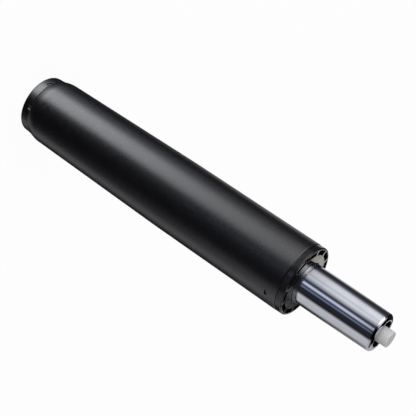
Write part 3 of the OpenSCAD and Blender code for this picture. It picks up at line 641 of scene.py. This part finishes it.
class GASLIFT_OT_pressure_tube(bpy.types.Operator):
    """Build the chromed tube with its seat taper and rolled rim"""
    bl_idname = "gaslift.pressure_tube"
    bl_label = "Pressure Tube"

    def execute(self, context):
        size = context.scene.lift_tube
        slope = math.tan(context.scene.lift_column.taper_angle / 2)
        tip = size.radius - size.taper_height * slope
        top = TUBE_HIGH.z
        lip = size.rim_hole + size.rim_lip
        shoulder = top - (tip - lip) * math.tan(size.rim_slope)
        # The rim's corner is blunter than a right angle, so its rounding starts nearer to it
        rim_reach = size.rim_round * math.tan((math.pi / 2 - size.rim_slope) / 2)
        foot = TUBE_LOW.z
        bore = size.radius - size.wall
        profile = [
            (size.tail_hole, foot), (size.radius, foot), (size.radius, top - size.taper_height),
            (tip, shoulder), (lip, top), (size.rim_hole, top), (size.rim_hole, top - size.wall),
            (bore, top - size.wall), (bore, foot + size.wall), (size.tail_hole, foot + size.wall),
        ]
        bm = lathe(profile, TUBE_STEPS)
        round_ring(bm, tip, shoulder, rim_reach, segments=12)
        round_ring(bm, size.rim_hole, top, size.rim_edge, segments=3)
        round_ring(bm, size.radius, foot, size.tail_round, segments=6)
        finish_piece(bm, "chromed_tube", "gas_spring", "pressure_tube", "chrome")
        return {"FINISHED"}


class GASLIFT_OT_valve_recess(bpy.types.Operator):
    """Build the spacer sleeve and valve cap that show as a dark recess round the button"""
    bl_idname = "gaslift.valve_recess"
    bl_label = "Valve Recess"

    def execute(self, context):
        size = context.scene.lift_tube
        outer = SLEEVE_HIGH.x
        inner = size.rim_hole
        bm = lathe([(inner, SLEEVE_LOW.z), (outer, SLEEVE_LOW.z), (outer, SLEEVE_HIGH.z),
                    (inner, SLEEVE_HIGH.z)], SMALL_STEPS)
        for height in (SLEEVE_LOW.z, SLEEVE_HIGH.z):
            for radius in (inner, outer):
                round_ring(bm, radius, height, size.sleeve_edge, segments=2)
        finish_piece(bm, "recess_sleeve", "gas_spring", "spacer_sleeve", "spring_steel")
        flange_foot = CAP_HIGH.z - size.cap_flange
        bm = lathe([(size.cap_bore, CAP_LOW.z), (size.cap_stem, CAP_LOW.z), (size.cap_stem, flange_foot),
                    (CAP_HIGH.x, flange_foot), (CAP_HIGH.x, CAP_HIGH.z), (size.cap_bore, CAP_HIGH.z)],
                   SMALL_STEPS)
        round_ring(bm, size.cap_bore, CAP_HIGH.z, size.sleeve_edge, segments=3)
        finish_piece(bm, "recess_cap", "gas_spring", "valve_cap", "bush_plastic")
        return {"FINISHED"}


class GASLIFT_OT_release_button(bpy.types.Operator):
    """Build the white button that the seat's lever presses"""
    bl_idname = "gaslift.release_button"
    bl_label = "Release Button"

    def execute(self, context):
        size = context.scene.lift_button
        top = BUTTON_HIGH.z
        foot = BUTTON_LOW.z
        socket_top = PIN_HIGH.z + size.socket_gap
        bm = lathe([(0, top), (size.radius, top), (size.radius, foot), (size.socket_radius, foot),
                    (size.socket_radius, socket_top), (0, socket_top)], SMALL_STEPS, closed=False)
        round_ring(bm, size.radius, top, size.top_round, segments=5)
        round_ring(bm, size.radius, foot, size.foot_round, segments=3)
        finish_piece(bm, "white_button", "release", "release_button", "button_plastic")
        return {"FINISHED"}


class GASLIFT_OT_foot(bpy.types.Operator):
    """Build the base plate and washer that show in the open foot"""
    bl_idname = "gaslift.foot"
    bl_label = "Foot"

    def execute(self, context):
        size = context.scene.lift_foot
        low = PLATE_LOW.z
        high = PLATE_HIGH.z
        outer = PLATE_HIGH.x
        groove = outer - size.groove_depth
        groove_low = size.groove_middle - size.groove_height / 2
        groove_high = size.groove_middle + size.groove_height / 2
        recess_top = low + size.recess_depth
        bm = lathe([(size.recess_radius, low), (outer, low), (outer, groove_low), (groove, groove_low),
                    (groove, groove_high), (outer, groove_high), (outer, high), (size.spigot_hole, high),
                    (size.spigot_hole, recess_top), (size.recess_radius, recess_top)],
                   PLATE_STEPS)
        round_ring(bm, outer, low, size.plate_edge, segments=3)
        round_ring(bm, outer, high, size.plate_edge, segments=3)
        round_ring(bm, size.recess_radius, low, size.plate_edge, segments=3)
        finish_piece(bm, "staked_base_plate", "column", "base_plate", "plated_steel")
        outer = WASHER_HIGH.x
        bm = lathe([(size.washer_hole, WASHER_LOW.z), (outer, WASHER_LOW.z), (outer, WASHER_HIGH.z),
                    (size.washer_hole, WASHER_HIGH.z)], SMALL_STEPS)
        round_ring(bm, outer, WASHER_LOW.z, size.washer_edge, segments=3)
        round_ring(bm, outer, WASHER_HIGH.z, size.washer_edge, segments=3)
        finish_piece(bm, "clip_washer", "rod", "foot_washer", "plated_steel")
        return {"FINISHED"}


class GASLIFT_OT_inner_finishes(bpy.types.Operator):
    """Give every CAD node that still shows the finish of its material slot"""
    bl_idname = "gaslift.inner_finishes"
    bl_label = "Inner Finishes"

    def execute(self, context):
        slots = {part["node"]: part["material_slot"] for part in frame["record"]["subparts"]}
        for node, piece in frame["nodes"].items():
            piece.data.materials.clear()
            piece.data.materials.append(make_material(slots[node]))
        return {"FINISHED"}


# What shiny surfaces see round the lift, as rings of cards at five heights. Each card has a direction in
# degrees, which turns from -Y at 0 towards -X at 90, and a colour. It fades into the next card.
# The lowest ring is what the paint sees: a light box, and a paler table beside it
RING_LOW = [
    (-180, "#08080a"), (-134, "#08080a"), (-125, "#b8b8bc"), (-104, "#b8b8bc"), (-93, "#242428"),
    (-82, "#08080a"), (14, "#08080a"), (26, "#f8faff"), (64, "#f8faff"), (80, "#70727a"), (98, "#3e4048"),
    (120, "#121216"), (134, "#0a0a0c"), (143, "#ffffff"), (180, "#ffffff"),
]
# The next one is what the side of the chromed tube sees: the same box and table, and blue window lines
RING_TUBE = [
    (-180, "#68686c"), (-132, "#545458"), (-113, "#cfcfd3"), (-74, "#d8d8dc"), (-60, "#28282e"),
    (-31, "#2c2e36"), (-24, "#868ca2"), (-19, "#4e5872"), (-14, "#3c4660"), (-6, "#e4eaff"), (-1, "#dde3f4"),
    (5, "#4e505c"), (13, "#464854"), (26, "#cfd2dc"), (38, "#ffffff"), (48, "#dfe2ee"), (60, "#ffffff"),
    (78, "#fbfbff"), (90, "#c4c5ce"), (98, "#6c6c76"), (108, "#44464e"), (122, "#2c2c34"), (136, "#4c4c52"),
    (148, "#ffffff"), (180, "#ffffff"),
]
# The three upper rings are what rounded edges and end faces see
RING_EDGE = [
    (-180, "#c0c0c4"), (-140, "#c0c0c4"), (-112, "#cfcfd3"), (-74, "#d8d8dc"), (-58, "#2e2e34"),
    (16, "#2e2e34"), (26, "#848894"), (52, "#ffffff"), (80, "#ffffff"), (94, "#303036"), (138, "#26262a"),
    (148, "#ffffff"), (176, "#ffffff"), (177, "#0a0a0c"), (180, "#0a0a0c"),
]
RING_HIGH = [
    (-180, "#c0c0c4"), (-178.4, "#c0c0c4"), (-177.8, "#101012"), (-175.5, "#101012"), (-174, "#c0c0c4"),
    (-74, "#c0c0c4"), (-60, "#101012"), (18, "#101012"), (28, "#848894"), (54, "#ffffff"), (80, "#ffffff"),
    (92, "#101012"), (173.5, "#101012"), (175, "#fffcf6"), (179, "#fffcf6"), (179.2, "#c0c0c4"),
    (180, "#c0c0c4"),
]
RING_TOP = [
    (-180, "#101012"), (-142, "#101012"), (-128, "#c0c0c4"), (-92, "#c0c0c4"), (-80, "#101012"),
    (14, "#101012"), (30, "#888c98"), (58, "#ffffff"), (122, "#ffffff"), (130, "#101012"), (180, "#101012"),
]
# Depths below the horizon, as a sine from -1 to 1, between which one ring fades into the next one down
RING_FADES = [(-0.66, -0.56), (-0.16, -0.12), (0.17, 0.24), (0.33, 0.37)]
# Brightness of the cards from high to low, as such a depth and a factor
LEVELS = {
    "room": [(-0.85, 0), (-0.75, 1)],
    "table": [
        (-0.52, 0), (-0.42, 1), (0.18, 1), (0.23, 2), (0.257, 1.9), (0.282, 0.8), (0.3, 0.2), (0.5, 0.2),
        (0.58, 2),
    ],
    "box": [
        (-0.99, 0), (-0.96, 1), (-0.58, 1), (-0.48, 3.4), (-0.05, 3.4), (0.08, 1.8), (0.18, 1.1), (0.28, 1),
        (0.31, 0.68), (0.325, 0.62), (0.335, 0.22), (0.37, 0.22), (0.385, 0.36), (0.42, 0.8), (0.46, 1.9),
        (0.5, 3.5), (0.55, 5.5), (0.62, 4.8), (0.8, 4), (0.92, 0.2),
    ],
    "window": [
        (-0.48, 0), (-0.42, 2), (-0.22, 2), (-0.18, 0.05), (0.2, 0.08), (0.25, 0.25), (0.31, 0.9), (0.35, 0.6),
        (0.45, 0.2), (0.55, 0.03),
    ],
}
# Direction from which each of these holds, as far as the next one
SIDES = [(-180, "table"), (-130, "room"), (8, "box"), (128, "room"), (132, "window"), (179.1, "table")]
# Inputs and outputs of a Mix node by place, because those for numbers and for colours share their names
NUMBER_A, NUMBER_B, NUMBER_OUT = 2, 3, 0
COLOUR_A, COLOUR_B, COLOUR_OUT = 6, 7, 2
WHITE = (1.0, 1.0, 1.0, 1.0)


def studio_world(stage):
    """World: white to the camera, even to matt surfaces, and a studio with cards to shiny ones."""
    world = bpy.data.worlds.new("studio")
    world.use_nodes = True
    tree = world.node_tree
    tree.nodes.clear()
    ray = add_node(tree, "ShaderNodeTexCoord").outputs["Generated"]
    back = add_node(tree, "ShaderNodeVectorMath", {0: ray, "Scale": -1.0}, operation="SCALE")
    part = add_node(tree, "ShaderNodeSeparateXYZ", {"Vector": back.outputs["Vector"]})
    turn = add_node(tree, "ShaderNodeMath", {0: part.outputs["X"], 1: part.outputs["Y"]}, operation="ARCTAN2")
    share = add_node(tree, "ShaderNodeMapRange", {"Value": turn.outputs["Value"], "From Min": -math.pi,
                                                  "From Max": math.pi}).outputs["Result"]
    depth = part.outputs["Z"]
    rings = []
    for cards in (RING_TOP, RING_HIGH, RING_EDGE, RING_TUBE, RING_LOW):
        stops = [((degrees + 180) / 360, linear(tint)) for degrees, tint in cards]
        rings.append(add_node(tree, "ShaderNodeValToRGB", {"Fac": share}, stops).outputs["Color"])
    lit = rings[0]
    for ring, (start, end) in zip(rings[1:], RING_FADES):
        fade = add_node(tree, "ShaderNodeMapRange", {"Value": depth, "From Min": start, "From Max": end})
        lit = add_node(tree, "ShaderNodeMix", {"Factor": fade.outputs["Result"], COLOUR_A: lit, COLOUR_B: ring},
                       data_type="RGBA").outputs[COLOUR_OUT]
    drop = add_node(tree, "ShaderNodeMapRange",
                    {"Value": depth, "From Min": -1.0, "From Max": 1.0}).outputs["Result"]
    levels = {}
    for name, factors in LEVELS.items():
        stops = [((place + 1) / 2, (factor, factor, factor, 1.0)) for place, factor in factors]
        levels[name] = add_node(tree, "ShaderNodeValToRGB", {"Fac": drop}, stops).outputs["Color"]
    gain = levels[SIDES[0][1]]
    for degrees, name in SIDES[1:]:
        past = add_node(tree, "ShaderNodeMath", {0: share, 1: (degrees + 180) / 360}, operation="GREATER_THAN")
        gain = add_node(tree, "ShaderNodeMix", {"Factor": past.outputs["Value"], NUMBER_A: gain,
                                                NUMBER_B: levels[name]}).outputs[NUMBER_OUT]
    studio = add_node(tree, "ShaderNodeVectorMath", {0: lit, "Scale": gain}, operation="SCALE")
    path = add_node(tree, "ShaderNodeLightPath")
    even = (stage.ambient, stage.ambient, stage.ambient, 1.0)
    polished = add_node(tree, "ShaderNodeMix",
                        {"Factor": path.outputs["Is Glossy Ray"], COLOUR_A: even,
                         COLOUR_B: studio.outputs["Vector"]}, data_type="RGBA")
    seen = add_node(tree, "ShaderNodeMath",
                    {0: path.outputs["Is Camera Ray"], 1: path.outputs["Is Transmission Ray"]},
                    operation="MAXIMUM")
    white = add_node(tree, "ShaderNodeMix",
                     {"Factor": seen.outputs["Value"], COLOUR_A: polished.outputs[COLOUR_OUT], COLOUR_B: WHITE},
                     data_type="RGBA")
    background = add_node(tree, "ShaderNodeBackground", {"Color": white.outputs[COLOUR_OUT]})
    add_node(tree, "ShaderNodeOutputWorld", {"Surface": background.outputs["Background"]})
    return world


def floor_paper(glow):
    """White seamless paper: matt, and bright enough to the camera to run into the background."""
    material = bpy.data.materials.new("white_floor_paper")
    material.use_nodes = True
    tree = material.node_tree
    tree.nodes.clear()
    path = add_node(tree, "ShaderNodeLightPath")
    fill = add_node(tree, "ShaderNodeMath", {0: path.outputs["Is Camera Ray"], 1: glow}, operation="MULTIPLY")
    paper = add_node(tree, "ShaderNodeBsdfDiffuse", {"Color": linear("#fafafa")})
    light = add_node(tree, "ShaderNodeEmission", {"Color": WHITE, "Strength": 1.0})
    mixed = add_node(tree, "ShaderNodeMixShader",
                     {"Fac": fill.outputs["Value"], 1: paper.outputs["BSDF"], 2: light.outputs["Emission"]})
    add_node(tree, "ShaderNodeOutputMaterial", {"Surface": mixed.outputs["Shader"]})
    return material


class GASLIFT_OT_stage(bpy.types.Operator):
    """Build the floor, the light and the camera"""
    bl_idname = "gaslift.stage"
    bl_label = "Stage"

    def execute(self, context):
        scene = context.scene
        stage = scene.lift_stage
        scene.view_settings.view_transform = "Standard"
        scene.world = studio_world(stage)

        bm = bmesh.new()
        bmesh.ops.create_circle(bm, cap_ends=True, segments=96, radius=stage.floor_radius,
                                matrix=Matrix.Translation((0, 0, -stage.floor_drop)))
        mesh = bpy.data.meshes.new("floor")
        bm.to_mesh(mesh)
        bm.free()
        mesh.materials.append(floor_paper(stage.floor_glow))
        floor = bpy.data.objects.new("floor", mesh)
        floor.visible_glossy = False
        scene.collection.objects.link(floor)

        aim = Vector((stage.aim_side, 0, stage.aim_height))
        lamp = bpy.data.lights.new("key", "AREA")
        lamp.energy = stage.key_power
        lamp.size = stage.key_size
        key = bpy.data.objects.new("key", lamp)
        key.visible_glossy = False
        key.location = stage.key_place
        key.rotation_euler = (aim - key.location).to_track_quat("-Z", "Y").to_euler()
        scene.collection.objects.link(key)

        back = Vector((0, -math.cos(stage.elevation), math.sin(stage.elevation)))
        level = (-back).to_track_quat("-Z", "Y").to_matrix().to_4x4()
        camera = bpy.data.objects.new("camera", bpy.data.cameras.new("camera"))
        camera.data.lens = stage.lens
        camera.matrix_world = (Matrix.Translation(aim + back * stage.distance) @ level
                               @ Matrix.Rotation(stage.roll, 4, "Z"))
        scene.collection.objects.link(camera)
        scene.camera = camera
        return {"FINISHED"}


class GASLIFT_PT_pieces(bpy.types.Panel):
    """Sidebar panel that lists the lift's pieces and its stage"""
    bl_idname = "GASLIFT_PT_pieces"
    bl_label = "Gas Lift"
    bl_space_type = "VIEW_3D"
    bl_region_type = "UI"
    bl_category = "Gas Lift"

    def draw(self, context):
        for operator in OPERATORS:
            self.layout.operator(operator.bl_idname)


# In the order in which they run
OPERATORS = [
    GASLIFT_OT_inner_finishes,
    GASLIFT_OT_column,
    GASLIFT_OT_guide_bush,
    GASLIFT_OT_pressure_tube,
    GASLIFT_OT_valve_recess,
    GASLIFT_OT_release_button,
    GASLIFT_OT_foot,
    GASLIFT_OT_stage,
]


def register():
    for cls in (*SETTINGS.values(), *OPERATORS, GASLIFT_PT_pieces):
        bpy.utils.register_class(cls)
    for name, group in SETTINGS.items():
        setattr(bpy.types.Scene, name, PointerProperty(type=group))


def unregister():
    for name in SETTINGS:
        delattr(bpy.types.Scene, name)
    for cls in reversed((*SETTINGS.values(), *OPERATORS, GASLIFT_PT_pieces)):
        bpy.utils.unregister_class(cls)


def main():
    register()
    bpy.ops.gaslift.inner_finishes()
    bpy.ops.gaslift.column()
    bpy.ops.gaslift.guide_bush()
    bpy.ops.gaslift.pressure_tube()
    bpy.ops.gaslift.valve_recess()
    bpy.ops.gaslift.release_button()
    bpy.ops.gaslift.foot()
    bpy.ops.gaslift.stage()


if __name__ == "__main__":
    main()
